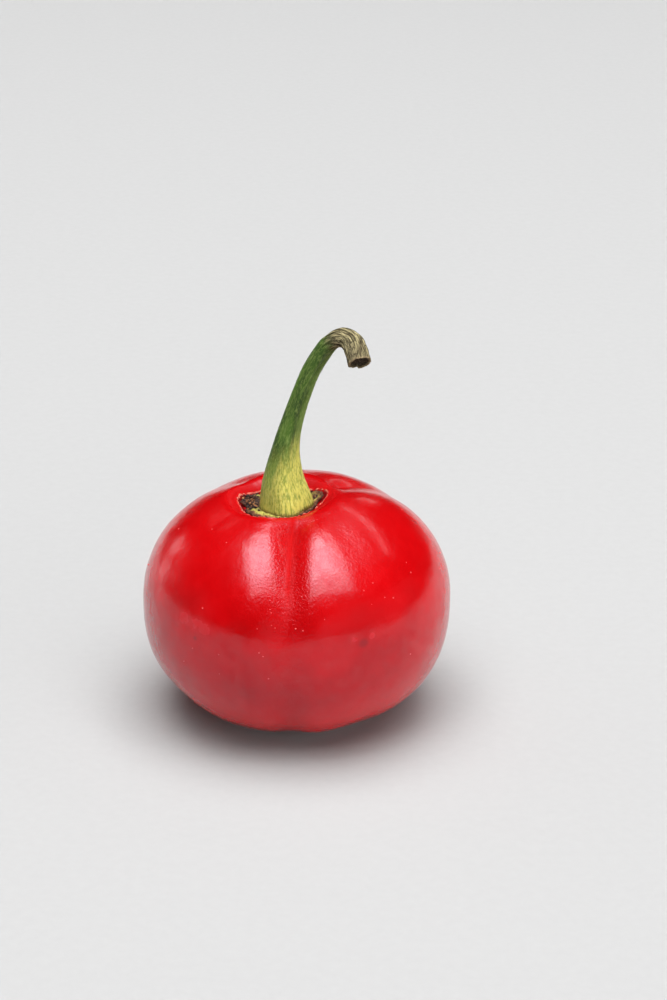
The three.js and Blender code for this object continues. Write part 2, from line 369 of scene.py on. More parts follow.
def pod_mesh(pod, calyx):
    """The pod, first spun over heights that only keep its rings apart, then moved to the skin."""
    profile = [(radius, side * (1 - radius / pod.radius * 0.5)) for radius, side in pod_profile(pod)]
    bm = spun(profile, pod.sides)
    layers = [bm.verts.layers.float.new(name) for name in POD_MARKS]
    for vertex in bm.verts:
        upper = vertex.co.z > 0
        x, y = vertex.co.x, vertex.co.y
        if upper:
            shift = 1 - smoothstep(math.hypot(x, y), *RING_SHIFT)
            x += HOLLOW.x * shift
            y += HOLLOW.y * shift
        crest, crevice, pucker, dull = lip(calyx, x, y) if upper else (0, 0, 0, 0)
        even = skin(pod, x, y, upper)
        place = skin(pod, x, y, upper, pod.waviness * ripple(*even, SWELL_SIZE))
        place.z += pod.lip_height * crest - CREVICE_DEPTH * crevice + PUCKER_HEIGHT * pucker
        pitted = min(furrow_depth(x, y, 0.5, True) / PITTED_DEPTH, 1)
        bruise, rub = marked(BRUISES, place), marked(RUBS, place)
        marks = (crest, crevice, pitted, max(dull, valley(place)), bruise, rub, place.z)
        for layer, mark in zip(layers, marks):
            vertex[layer] = mark
        vertex.co = place
    return bm


# ---- Calyx ----

CALYX_SIDES = 220
CALYX_RINGS = 30
CALYX_EDGE_RINGS = 6
CALYX_SINK = 0.12 * MM  # its underside has grown into the skin
EDGE_THINNING = 0.6  # share by which the calyx thins out at its edge
THINNING_REACH = (0.85, 1.05)  # shares of its radius
RIM_BULGE = 0.03  # by which its edge is rounded outwards, as a share of its radius
RAGGEDNESS = 0.22 * MM
RAGGED_WAVES = ((1, 6), (0.6, 15), (0.4, 34))  # strength and waves
LUMPS = ((1, 0, 0.9 * MM), (0.6, 3, 0.4 * MM))  # strength, place in the noise and size
LUMP_SHARE = 0.5  # of the corkiness
CRACKS = (9, 1.1 * MM, 6)  # place in the noise, size and sharpness
CRACK_SHARE = 0.8
CORKY_REACH = (0.5, 0.9)  # shares of the radius over which the cork roughens
DECAYED_RAGGEDNESS = 1.8  # added where the calyx has died
DECAYED_ROUGHNESS = 0.8
DECAY = ((172, 34), (60, 30))  # angles and half-widths where the calyx has died and crumbled
PIT = Vector((4.6, 0.9, 0)) * MM  # a pit in the right-hand tooth, from the calyx's middle
PIT_RADIUS = 0.75 * MM
PIT_DEPTH = 0.4 * MM


def calyx_edge(calyx, turn):
    """Radius of the calyx and the height of its curl in a direction, in radians."""
    radius = calyx.radius
    curl = 0
    for angle, reach, rise, half_width in TEETH:
        rises = hump(turn, angle, half_width)
        radius += reach * rises
        curl += rise * rises
    return radius, curl


def calyx_height(pod, calyx, from_middle, level):
    """Height of the calyx over a place measured from its middle; level 0 is its underside, 1 its top."""
    turn = math.atan2(from_middle.y, from_middle.x)
    radius, curl = calyx_edge(calyx, turn)
    rise = curl * smoothstep(from_middle.length / radius, CURL_START, 1)
    floor = skin(pod, HOLLOW.x + from_middle.x, HOLLOW.y + from_middle.y, True).z
    thinning = EDGE_THINNING * smoothstep(from_middle.length / radius, *THINNING_REACH)
    return floor - CALYX_SINK + rise + level * (calyx.thickness * (1 - thinning) + CALYX_SINK)


def calyx_mesh(pod, calyx):
    """The calyx, first spun with a radius and a thickness of 1, then moved to its place on the pod."""
    rings = [ring / CALYX_RINGS for ring in range(1, CALYX_RINGS + 1)]
    rim = [math.pi * (step / CALYX_EDGE_RINGS - 0.5) for step in range(1, CALYX_EDGE_RINGS)]
    profile = [(0, 0)]
    profile += [(part, 0) for part in rings]
    profile += [(1 + RIM_BULGE * math.cos(slope), 0.5 + 0.5 * math.sin(slope)) for slope in rim]
    profile += [(part, 1) for part in reversed(rings)]
    profile += [(0, 1)]
    bm = spun(profile, CALYX_SIDES)
    edge_layer = bm.verts.layers.float.new("edge")
    decay_layer = bm.verts.layers.float.new("decay")
    for vertex in bm.verts:
        part = math.hypot(vertex.co.x, vertex.co.y)
        level = vertex.co.z
        turn = math.atan2(vertex.co.y, vertex.co.x)
        circle = Vector((math.cos(turn), math.sin(turn), 0))
        ragged = sum(strength * noise.noise(circle * waves) for strength, waves in RAGGED_WAVES)
        decay = min(sum(hump(turn, angle, half_width) for angle, half_width in DECAY), 1)
        worn = 1 + DECAYED_RAGGEDNESS * decay
        radius = calyx_edge(calyx, turn)[0] + RAGGEDNESS * ragged * part**4 * worn
        from_middle = circle * (part * radius)
        place = HOLLOW + from_middle
        lumps = sum(share * ripple(place.x, place.y, z, size) for share, z, size in LUMPS)
        cracks = 1 - min(abs(ripple(place.x, place.y, CRACKS[0], CRACKS[1])) * CRACKS[2], 1)
        relief = (LUMP_SHARE * lumps - CRACK_SHARE * cracks) * calyx.roughness
        relief *= 1 + DECAYED_ROUGHNESS * decay
        relief *= smoothstep(part, *CORKY_REACH)
        pit = math.exp(-((from_middle - PIT).length / PIT_RADIUS) ** 2)
        place.z = calyx_height(pod, calyx, from_middle, level) + (relief - PIT_DEPTH * pit) * level
        vertex[edge_layer] = part
        vertex[decay_layer] = min(decay + pit, 1)
        vertex.co = place
    return bm


FLAKE_COUNT = 150
FLAKE_SIZE = (0.1 * MM, 0.3 * MM)
FLAKE_WIDTH = (0.5, 1)  # shares of its size, as the next two
FLAKE_THICKNESS = (0.25, 0.6)
FLAKE_LIFT = 0.2
FLAKE_TILT = 0.9  # radians
FLAKE_BUMPS = (0.35, 0.15 * MM)  # height as a share, and size
FLAKE_REACH = (0.72, 1.03)  # shares of the calyx's radius
FLAKE_SPREAD = 0.5  # share of the half-width of a dead part
FLAKE_SEED = 7


def flakes_mesh(pod, calyx):
    """Crumbs of cork on the dead parts of the calyx, as small squashed lumps."""
    chance = random.Random(FLAKE_SEED)
    noise.seed_set(FLAKE_SEED)  # or noise_vector differs from run to run
    bm = bmesh.new()
    shade_layer = bm.verts.layers.float.new("shade")
    bump_height, bump_size = FLAKE_BUMPS
    for _ in range(FLAKE_COUNT):
        angle, half_width = chance.choice(DECAY)
        turn = math.radians(angle + chance.gauss(0, half_width * FLAKE_SPREAD))
        radius = calyx_edge(calyx, turn)[0] * chance.uniform(*FLAKE_REACH)
        from_middle = Vector((math.cos(turn), math.sin(turn), 0)) * radius
        size = chance.uniform(*FLAKE_SIZE)
        place = HOLLOW + from_middle
        place.z = calyx_height(pod, calyx, from_middle, 1) + size * FLAKE_LIFT
        tilt = Euler([chance.uniform(-FLAKE_TILT, FLAKE_TILT) for _ in range(3)]).to_matrix().to_4x4()
        width, thickness = size * chance.uniform(*FLAKE_WIDTH), size * chance.uniform(*FLAKE_THICKNESS)
        squash = Matrix.Diagonal((size, width, thickness, 1))
        made = bmesh.ops.create_icosphere(
            bm, subdivisions=1, radius=1, matrix=Matrix.Translation(place) @ tilt @ squash
        )
        shade = chance.random()
        for vertex in made["verts"]:
            vertex.co += noise.noise_vector(vertex.co / bump_size) * size * bump_height
            vertex[shade_layer] = shade
    bmesh.ops.recalc_face_normals(bm, faces=bm.faces)
    return bm


# ---- Specks ----

# Pale specks on the skin, as angles from +X and up from the widest level
SPECKS = (
    (255.9, 15.6), (261.0, 17.6), (262.4, 16.4), (270.3, 16.2), (273.1, 15.4), (232.5, 19.6),
    (260.2, -5), (260.5, 23.4), (259.9, 25.0), (258.4, 3.2), (326.6, 34.6), (304.7, 32.4),
    (307.8, 24.6), (281.3, 20.2),
)
SPECK_SEED = 3
SPECK_COUNT = 34  # more of them, anywhere on the upper half
SPECK_SIZE = (0.09 * MM, 0.17 * MM)
SPECK_SLOPES = (-10, 60)  # degrees up from the widest level
SPECK_WIDTH = (0.7, 1)  # share of its size
SPECK_HEIGHT = 0.45


def specks_mesh(pod):
    """Tiny raised specks of the skin, each a low dome."""
    chance = random.Random(SPECK_SEED)
    spots = list(SPECKS)
    spots += [(chance.uniform(0, 360), chance.uniform(*SPECK_SLOPES)) for _ in range(SPECK_COUNT)]
    bm = bmesh.new()
    for angle, slope in spots:
        upper = slope >= 0
        power = CROWN_POWER if upper else FOOT_POWER
        turns = [math.radians(angle + step) for step in (0, 1, 0)]
        slopes = [math.radians(slope + step) for step in (0, 0, 1)]
        corners = []
        for turn, lean in zip(turns, slopes):
            radius = pod.radius * math.cos(lean) ** (2 / power)
            corners.append(skin(pod, radius * math.cos(turn), radius * math.sin(turn), upper))
        outward = (corners[1] - corners[0]).cross(corners[2] - corners[0])
        size = chance.uniform(*SPECK_SIZE)
        frame_here = Matrix.Translation(corners[0]) @ outward.to_track_quat("Z", "Y").to_matrix().to_4x4()
        squash = Matrix.Diagonal((size, size * chance.uniform(*SPECK_WIDTH), size * SPECK_HEIGHT, 1))
        bmesh.ops.create_icosphere(bm, subdivisions=1, radius=1, matrix=frame_here @ squash)
    return bm


# ---- Stalk ----

STALK_SIDES = 112
STALK_RINGS = 300
ROUTE_STEPS = 24
STALK_SINK = 0.15 * MM  # the foot has grown into the calyx
SEAT_RINGS = (0, 0.4, 0.75)  # of its hidden underside, as shares of its radius
RIB_COUNT = 5
RIB_SHARE = 0.055  # of the stalk's radius
GRAIN_LENGTH = 5 * MM
GRAIN_WAVES = ((1, 4, 1), (0.5, 9, 2))  # strength, and waves round the stalk and along it
WRINKLE_REACH = (24 * MM, 28 * MM)
WRINKLE_DEPTH = 0.16 * MM
FOLDS = (2.6, 1.6, 4)  # waves round the stalk and along it, and sharpness
KNOTS = (3.5, 5, 0.5)  # waves round the stalk and along it, and share of the wrinkles
SHRIVELLED_RIBS = 0.7  # share that the dry end has lost
NOTCH = (338, 0.55 * MM, 15, 2 * MM)  # angle, depth, half-width and length of the notch in the cut end
CUT_RINGS = ((0.985, 0.05 * MM), (0.93, 0.08 * MM), (0.84, 0), (0.74, -0.2 * MM), (0.6, -0.32 * MM),
             (0.4, -0.3 * MM), (0.2, -0.36 * MM), (0, -0.34 * MM))  # share of the radius, height
CUT_DEPTH = 0.5 * MM  # deeper than all of these rings
CUT_EDGE = 0.99  # share of the radius: a corner within it is on the cut
PITH_BUMPS = (0.08 * MM, 0.3 * MM)  # height and size
PITH_EDGE = (0.72, 0.9)  # shares of the radius
RIM_START = 0.3 * MM  # before the end
RIM_EDGE = (0.7, 0.9)  # shares of the radius


class Route:
    """A smooth line through points, with the sideways and backward directions carried along it
    without twist, so that a straight body can be bent to it."""

    def __init__(self, points):
        ends = (points[0] * 2 - points[1], *points, points[-1] * 2 - points[-2])
        self.points = [points[0]]
        for before, start, end, after in zip(ends, ends[1:], ends[2:], ends[3:]):
            leave = start + (end - before) / 6
            arrive = end - (after - start) / 6
            self.points += interpolate_bezier(start, leave, arrive, end, ROUTE_STEPS)[1:]
        self.distances = [0]
        for start, end in zip(self.points, self.points[1:]):
            self.distances.append(self.distances[-1] + (end - start).length)
        self.length = self.distances[-1]
        self.sideways = [Vector((1, 0, 0))]
        self.backward = [Vector((0, 1, 0))]
        heading = Vector((0, 0, 1))
        for start, end in zip(self.points, self.points[1:]):
            turn = heading.rotation_difference(end - start)
            self.sideways.append(turn @ self.sideways[-1])
            self.backward.append(turn @ self.backward[-1])
            heading = end - start

    def bend(self, x, y, along):
        """The place of a point that lies x sideways and y backwards of the line, along it."""
        step = 0
        low, high = 0, len(self.distances) - 2
        while low <= high:
            step = (low + high) // 2
            if self.distances[step + 1] < along:
                low = step + 1
            elif self.distances[step] > along:
                high = step - 1
            else:
                break
        span = self.distances[step + 1] - self.distances[step]
        part = min(max((along - self.distances[step]) / span, 0), 1)
        middle = self.points[step].lerp(self.points[step + 1], part)
        sideways = self.sideways[step].lerp(self.sideways[step + 1], part)
        backward = self.backward[step].lerp(self.backward[step + 1], part)
        return middle + sideways * x + backward * y


def stalk_radius(stalk, along):
    flare = stalk.flare * math.exp(-((along / FLARE_LENGTH) ** 1.5))
    return stalk.radius + flare + stalk.end_swell * smoothstep(along, *END_SWELL_REACH)


def stalk_relief(stalk, turn, along, stalk_end):
    """Height of the ribs, the groove, the toe, the grain and the wrinkles and notch of the dry end."""
    circle = Vector((math.cos(turn), math.sin(turn), 0))
    ribs = RIB_SHARE * stalk_radius(stalk, along) * math.cos(RIB_COUNT * (turn - math.radians(RIB_ANGLE)))
    groove_reach = smoothstep(along, *GROOVE_START) * (1 - smoothstep(along, *GROOVE_END))
    groove = GROOVE[1] * groove_reach * hump(turn, GROOVE[0], GROOVE[2])
    toe = TOE[1] * math.exp(-along / TOE[3]) * hump(turn, TOE[0], TOE[2])
    notch = NOTCH[1] * smoothstep(along, stalk_end - NOTCH[3], stalk_end) * hump(turn, NOTCH[0], NOTCH[2])
    lengthwise = Vector((0, 0, along / GRAIN_LENGTH))
    grain = 0
    for strength, across, down in GRAIN_WAVES:
        grain += strength * noise.noise(circle * across + lengthwise * down)
    dried = smoothstep(along, *WRINKLE_REACH)
    folds = 1 - min(abs(noise.noise(circle * FOLDS[0] + lengthwise * FOLDS[1])) * FOLDS[2], 1)
    knots = noise.noise(circle * KNOTS[0] + lengthwise * KNOTS[1])
    wrinkles = dried * WRINKLE_DEPTH * (folds - KNOTS[2] * knots)
    ribs *= 1 - SHRIVELLED_RIBS * dried
    return ribs - groove + toe + stalk.grain * grain - wrinkles - notch


def stalk_mesh(pod, calyx, stalk):
    """The stalk, first spun straight up, then bent along its route, with its foot on the calyx."""
    route = Route(STALK_ROUTE)
    foot = stalk_radius(stalk, 0)
    profile = [(foot * part, 0) for part in SEAT_RINGS]
    for ring in range(STALK_RINGS + 1):
        along = route.length * ring / STALK_RINGS
        profile.append((stalk_radius(stalk, along), along))
    end = stalk_radius(stalk, route.length)
    profile += [(end * part, route.length + height) for part, height in CUT_RINGS]
    bm = spun(profile, STALK_SIDES)
    grain_layer = bm.verts.layers.float_vector.new("grain")
    cut_layer = bm.verts.layers.float.new("cut")
    rim_layer = bm.verts.layers.float.new("rim")
    forward = (route.points[-1] - route.points[-2]).normalized()
    for vertex in bm.verts:
        x, y, height = vertex.co
        along = min(max(height, 0), route.length)
        radius = math.hypot(x, y)
        part = min(radius / stalk_radius(stalk, along), 1)
        turn = math.atan2(y, x)
        if radius > 0:
            grown = 1 + stalk_relief(stalk, turn, along, route.length) * part / radius
            x *= grown
            y *= grown
        place = route.bend(x, y, along)
        if height > route.length - CUT_DEPTH and part < CUT_EDGE:
            pith = PITH_BUMPS[0] * ripple(x, y, 5, PITH_BUMPS[1])
            place += forward * (height - along + pith)
            vertex[cut_layer] = 1 - smoothstep(part, *PITH_EDGE)
        if along < FOOT_SETTLE:
            seat = calyx_height(pod, calyx, Vector((place.x, place.y, 0)) - HOLLOW, 1) - STALK_SINK
            settled = along / FOOT_SETTLE
            place.z = (seat + along) * (1 - settled) + place.z * settled
        at_end = smoothstep(height, route.length - RIM_START, route.length)
        vertex[rim_layer] = at_end * smoothstep(part, *RIM_EDGE)
        vertex[grain_layer] = Vector((vertex.co.x, vertex.co.y, along))
        vertex.co = place
    return bm


# ---- Materials ----

# Colours of small marks, and of painted light and shade
# brighter red: painted light from below on the pod's foot
FOOT_LIGHT_RED = tint(208, 2, 14)
SCUFF = tint(186, 34, 40)
BRUISED = tint(118, 0, 6)
# dark red of painted shade in the crevice round the calyx
CREVICE_SHADE_RED = tint(84, 4, 6)
GLINT = (0.86, 0.82, 1.0, 1.0)  # of the skin's highlights
# dark edge of the calyx: partly its own dry brown rim, partly painted shade of the crevice beside it
BROWN_EDGE_AND_SHADE = tint(56, 22, 10)
FOOT_STREAK = tint(108, 118, 44)
FOOT_HAIR = tint(184, 180, 106)
FOOT_SHADE = tint(92, 108, 42)
STRAW_SHADE = tint(58, 50, 30)
CREASE = tint(30, 25, 14)
FLECK = tint(38, 40, 18)
DRY_TIP = tint(70, 60, 42)
BURIED_FOOT = tint(64, 34, 14)
CUT_RIM = tint(128, 112, 84)
PALE_PITH = tint(84, 72, 52)
PAPER_TOOTH = (0.6, 0.6, 0.6)


class Number:
    """The output of a shader node as a number: arithmetic with it adds Math nodes."""

    def __init__(self, finish, socket):
        self.finish = finish
        self.socket = socket

    def maths(self, operation, first, second):
        return self.finish.node("Math", {"operation": operation}, {0: first, 1: second})

    def __add__(self, other):
        return self.maths("ADD", self, other)

    def __sub__(self, other):
        return self.maths("SUBTRACT", self, other)

    def __rsub__(self, other):
        return self.maths("SUBTRACT", other, self)

    def __mul__(self, other):
        return self.maths("MULTIPLY", self, other)

    def __pow__(self, other):
        return self.maths("POWER", self, other)


class Finish:
    """A material under construction. One method adds a node of any type."""

    def __init__(self, name):
        self.material = bpy.data.materials.new(name)
        self.material.use_nodes = True
        self.tree = self.material.node_tree
        self.tree.nodes.clear()

    def node(self, kind, settings=None, inputs=None, output=0):
        """Adds a node: first its settings, then the values or links of its sockets."""
        node = self.tree.nodes.new("ShaderNode" + kind)
        for name, value in (settings or {}).items():
            setattr(node, name, value)
        for name, value in (inputs or {}).items():
            if isinstance(value, Number):
                self.tree.links.new(value.socket, node.inputs[name])
            else:
                node.inputs[name].default_value = value
        return Number(self, node.outputs[output])

    def attribute(self, name, output="Fac"):
        return self.node("Attribute", {"attribute_name": name}, output=output)

    def place(self):
        """The place on the piece, in metres."""
        return self.node("TexCoord", output="Object")

    def scaled(self, vector, size):
        """A vector counted in steps of the given size, which may differ along each axis."""
        steps = size if isinstance(size, tuple) else (size, size, size)
        return self.node("VectorMath", {"operation": "DIVIDE"}, {0: vector, 1: steps}, "Vector")

    def noise(self, vector, size, detail=3.0, roughness=0.55):
        """Noise from 0 to 1 with bumps of about the given size."""
        place = self.scaled(vector, size)
        inputs = {"Vector": place, "Scale": 1.0, "Detail": detail, "Roughness": roughness}
        return self.node("TexNoise", None, inputs, "Fac")

    def between(self, value, low, high):
        """0 where a value is under low, 1 where it is over high, and smooth in between."""
        settings = {"interpolation_type": "SMOOTHSTEP"}
        return self.node("MapRange", settings, {"Value": value, "From Min": low, "From Max": high})

    def mix(self, factor, first, second):
        """A colour between two."""
        colours = [value if isinstance(value, Number) else (*value[:3], 1) for value in (first, second)]
        return self.node("Mix", {"data_type": "RGBA"}, {0: factor, 6: colours[0], 7: colours[1]}, 2)

    def coated(self, colour, *coats):
        """A colour under coats, each given as its share and its colour."""
        for share, coat in coats:
            colour = self.mix(share, colour, coat)
        return colour

    def bump(self, height, distance, normal=None):
        inputs = {"Strength": 1.0, "Distance": distance, "Height": height}
        if normal:
            inputs["Normal"] = normal
        return self.node("Bump", None, inputs, "Normal")

    def ended(self, surface):
        """Gives the material its surface."""
        output = self.tree.nodes.new("ShaderNodeOutputMaterial")
        self.tree.links.new(surface.socket, output.inputs["Surface"])
        return self.material

    def done(self, inputs):
        """Ends the material in one Principled surface."""
        return self.ended(self.node("BsdfPrincipled", None, inputs))


def pod_finish(pod):
    """Thin, waxy, glossy skin, with fine pits beside the furrows and dry torn skin round the calyx."""
    finish = Finish("waxy_skin")
    place = finish.place()
    torn, crevice, furrow, dull, bruise, rub, height = (finish.attribute(name) for name in POD_MARKS)
    broad = finish.noise(place, 11 * MM, 2.0)
    mottled = finish.noise(place, 2.2 * MM, 4.0)
    fibres = finish.noise(place, 0.35 * MM, 3.0)
    blooming = finish.noise(place, 1.5 * MM, 4.0)
    pits = finish.noise(place, 0.34 * MM, 2.0)
    patches = finish.between(broad + mottled * 0.35, 0.45, 0.95)
    scuffed = finish.between(rub + (mottled - 0.5) * 1.3, 0.4, 0.9)
    bruised = finish.between(bruise + (mottled - 0.5) * 0.8, 0.2, 0.8)
    dry = finish.between(torn + (fibres - 0.5) * 0.9, 0.34, 0.66)
    red = finish.coated(
        finish.mix(patches, pod.deep, pod.ripe),
        # painted shade: the red gets darker towards the crown
        (finish.between(height, 22 * MM, 33 * MM) * 0.75, pod.deep),
        # painted light: the red gets brighter towards the foot
        (finish.between(height, 13 * MM, 4 * MM) * 0.8, FOOT_LIGHT_RED),
        # painted shade in the furrows
        (furrow * 0.35, pod.deep),
        (scuffed * 0.3, SCUFF),
        (bruised * 0.75, BRUISED),
        (dry, pod.torn),
        # painted shade in the crevice beside the calyx
        (finish.between(crevice, 0.2, 0.8) * 0.9, CREVICE_SHADE_RED),
    )
    swells = finish.noise(place, 2.6 * MM, 2.0)
    normal = finish.bump(swells, 0.08 * MM)
    normal = finish.bump(pits * (furrow**0.55 * 0.9 + 0.12), 0.11 * MM, normal)
    normal = finish.bump(fibres * dry, 0.15 * MM, normal)
    worn = finish.between(mottled, 0.3, 0.7) * 0.05 + scuffed * 0.08
    glossy = {
        "Base Color": red,
        "Roughness": worn + dry * 0.4 + dull * 0.2 + 0.185,
        "Specular IOR Level": 0.45,
        "Specular Tint": GLINT,
        "Coat Weight": (1 - dull) * (finish.between(blooming, 0.35, 0.7) * 0.35 + 0.08),
        "Coat Roughness": 0.05,
        "Normal": normal,
    }
    matte = {"Base Color": red, "Roughness": 0.8, "Specular IOR Level": 0.08, "Normal": normal}
    surfaces = [finish.node("BsdfPrincipled", None, inputs) for inputs in (glossy, matte)]
    return finish.ended(finish.node("MixShader", None, {0: dull, 1: surfaces[0], 2: surfaces[1]}))


def calyx_finish(calyx, stalk):
    """Yellow-green like the stalk's foot, brown at the edge and dead, dark and crumbling in places; the dark
    edge is partly painted shade of the crevice beside it.
    """
    finish = Finish("calyx_cork")
    place = finish.place()
    edge = finish.attribute("edge")
    decay = finish.attribute("decay")
    coarse = finish.noise(place, 0.9 * MM, 4.0, 0.6)
    fine = finish.noise(place, 0.22 * MM, 4.0, 0.65)
    living = finish.mix(finish.between(fine, 0.35, 0.65), calyx.olive, stalk.foot)
    cork = finish.mix(finish.between(coarse, 0.42, 0.6), calyx.cork, calyx.bark)
    dead = finish.mix(finish.between(fine, 0.5, 0.68), calyx.rot, calyx.cork)
    here = finish.coated(
        living,
        (finish.between(edge + (coarse - 0.5) * 0.35, 0.84, 0.98), cork),
        (finish.between(decay + (coarse - 0.5) * 0.5, 0.25, 0.6), dead),
        # dark edge: partly dry brown rim, partly painted shade of the crevice
        (finish.between(edge + (fine - 0.5) * 0.3, 0.89, 1.0) * 0.85, BROWN_EDGE_AND_SHADE),
    )
    normal = finish.bump(coarse, 0.3 * MM)
    normal = finish.bump(fine, 0.12 * MM, normal)
    return finish.done({"Base Color": here, "Roughness": 0.82, "Normal": normal})


def flakes_finish(calyx):
    """Crumbs from nearly black to tan."""
    finish = Finish("cork_crumbs")
    shade = finish.attribute("shade")
    fine = finish.noise(finish.place(), 0.12 * MM, 3.0)
    here = finish.mix(finish.between(shade, 0.3, 0.75), calyx.rot, calyx.bark)
    here = finish.mix(finish.between(shade + (fine - 0.5) * 0.5, 0.7, 0.95), here, calyx.cork)
    return finish.done({"Base Color": here, "Roughness": 0.75, "Normal": finish.bump(fine, 0.08 * MM)})


def specks_finish(pod):
    """A paler red, partly the specks' own colour and partly a painted glint, that catches the light."""
    finish = Finish("pale_specks")
    fine = finish.noise(finish.place(), 0.1 * MM, 2.0)
    here = finish.mix(fine, pod.speck, pod.ripe)
    return finish.done({"Base Color": here, "Roughness": 0.3, "Normal": finish.bump(fine, 0.02 * MM)})


def stalk_finish(stalk):
    """Green stalk that pales to yellow at the foot and dries to straw at the end, grained lengthwise."""
    finish = Finish("stalk_rind")
    grain = finish.attribute("grain", "Vector")
    cut = finish.attribute("cut")
    rim = finish.attribute("rim")
    sideways = finish.node("SeparateXYZ", None, {0: grain}, "X")
    along = finish.node("SeparateXYZ", None, {0: grain}, "Z")
    broad = finish.noise(grain, (1.3 * MM, 1.3 * MM, 6 * MM), 3.0)
    streaks = finish.noise(grain, (0.26 * MM, 0.26 * MM, 2.2 * MM), 4.0, 0.65)
    hairs = finish.noise(grain, (0.12 * MM, 0.12 * MM, 0.55 * MM), 3.0, 0.6)
    net = finish.noise(grain, (0.42 * MM, 0.42 * MM, 1.9 * MM), 3.0, 0.6)
    creases = finish.between(net, 0.44, 0.5) * finish.between(net, 0.56, 0.5)
    flecks = finish.noise(grain, (0.16 * MM, 0.16 * MM, 0.3 * MM), 2.0)
    streaked = finish.between(streaks, 0.36, 0.6)
    haired = finish.between(hairs, 0.5, 0.64)
    green = finish.coated(
        finish.mix(finish.between(broad, 0.36, 0.66), stalk.shade, stalk.neck),
        (finish.between(streaks, 0.52, 0.72) * 0.7, stalk.streak),
        (haired * 0.55, stalk.streak),
        # painted light: paler on the stalk's right-hand side
        (finish.between(sideways, 0.75 * MM, 1.3 * MM) * 0.5, stalk.streak),
    )
    foot = finish.coated(
        finish.mix(streaked, FOOT_STREAK, stalk.foot),
        (haired * 0.5, FOOT_HAIR),
        (finish.between(sideways, 0, -2.4 * MM) * 0.4, FOOT_SHADE),
    )
    raised = finish.between(along - sideways * 1.2 + (broad - 0.5) * (6 * MM), 10.8 * MM, 4 * MM)
    dried = finish.between(along + (broad - 0.5) * (4 * MM), 25.5 * MM, 28 * MM)
    straw = finish.mix(streaked, STRAW_SHADE, stalk.dry)
    buried = finish.between(along + (flecks - 0.5) * (0.8 * MM), 0.6 * MM, 0.2 * MM)
    rind = finish.coated(
        finish.mix(raised, green, foot),
        (dried, finish.mix(creases * 0.8, straw, CREASE)),
        (finish.between(flecks, 0.66, 0.74) * 0.75, FLECK),
        (finish.between(along, 30 * MM, 33 * MM) * 0.5, DRY_TIP),
        (buried * 0.75, BURIED_FOOT),
        (rim * 0.8, CUT_RIM),
        (cut, finish.mix(finish.between(flecks, 0.5, 0.64), stalk.cut, PALE_PITH)),
    )
    normal = finish.bump(streaks, 0.14 * MM)
    normal = finish.bump(hairs, 0.05 * MM, normal)
    normal = finish.bump(dried - creases * dried, 0.12 * MM, normal)
    worn = dried * 0.28 + streaks * 0.15 + 0.42
    return finish.done({"Base Color": rind, "Roughness": worn, "Specular IOR Level": 0.25, "Normal": normal})


def floor_finish(stage):
    """Smooth pale paper with a very faint tooth."""
    finish = Finish("pale_paper")
    tooth = finish.noise(finish.place(), 1.5 * MM, 3.0)
    paper = finish.mix(tooth * 0.06, stage.floor, PAPER_TOOTH)
    return finish.done({"Base Color": paper, "Roughness": 0.9, "Normal": finish.bump(tooth, 0.03 * MM)})


# ---- Pieces ----


def add_piece(bm, name, material):
    """Makes a finished bmesh a smooth object at the origin."""
    mesh = bpy.data.meshes.new(name)
    bm.to_mesh(mesh)
    bm.free()
    mesh.shade_smooth()
    mesh.materials.append(material)
    piece = bpy.data.objects.new(name, mesh)
    bpy.context.scene.collection.objects.link(piece)
    return piece


def add_to_pepper(bm, name, material, slot, *nodes):
    """Adds a piece that rides with the pepper, and stands for its CAD nodes if it has any."""
    piece = add_piece(bm, name, material)
    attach(piece, "root")
    if nodes:
        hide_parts(*nodes)


class PEPPER_OT_pod(Operator):
    """Grow the round, lobed pod with its glossy skin"""

    bl_idname = "pepper.pod"
    bl_label = "Pod"
    bl_options = {"REGISTER", "UNDO"}

    def execute(self, context):
        pod = context.scene.pepper_pod
        bm = pod_mesh(pod, context.scene.pepper_calyx)
        add_to_pepper(bm, "glossy_pod", pod_finish(pod), "pod", "pod")
        add_to_pepper(specks_mesh(pod), "skin_specks", specks_finish(pod), "pod")
        return {"FINISHED"}


class PEPPER_OT_calyx(Operator):
    """Grow the corky calyx in the hollow of the crown"""

    bl_idname = "pepper.calyx"
    bl_label = "Calyx"
    bl_options = {"REGISTER", "UNDO"}

    def execute(self, context):
        pod = context.scene.pepper_pod
        calyx = context.scene.pepper_calyx
        finish = calyx_finish(calyx, context.scene.pepper_stalk)
        add_to_pepper(calyx_mesh(pod, calyx), "corky_calyx", finish, "calyx", "calyx")
        add_to_pepper(flakes_mesh(pod, calyx), "cork_crumbs", flakes_finish(calyx), "calyx")
        return {"FINISHED"}


class PEPPER_OT_stalk(Operator):
    """Grow the curved stalk from the calyx to its cut end"""

    bl_idname = "pepper.stalk"
    bl_label = "Stalk"
    bl_options = {"REGISTER", "UNDO"}

    def execute(self, context):
        stalk = context.scene.pepper_stalk
        bm = stalk_mesh(context.scene.pepper_pod, context.scene.pepper_calyx, stalk)
        add_to_pepper(bm, "curved_stalk", stalk_finish(stalk), "stalk", "stalk")
        return {"FINISHED"}


# ---- Stage ----

FLOOR_SIZE = 3.0  # metres from its middle to its edges
CAMERA_PLACE = Vector((5.334, -363.145, 194.356)) * MM
CAMERA_TILT = 66  # degrees up from straight down
SENSOR_WIDTH = 36
DARK_ROOM = (0.004, 0.004, 0.004, 1)
PEPPER_MIDDLE = Vector((0, 0, 30)) * MM  # that the lamps hang round


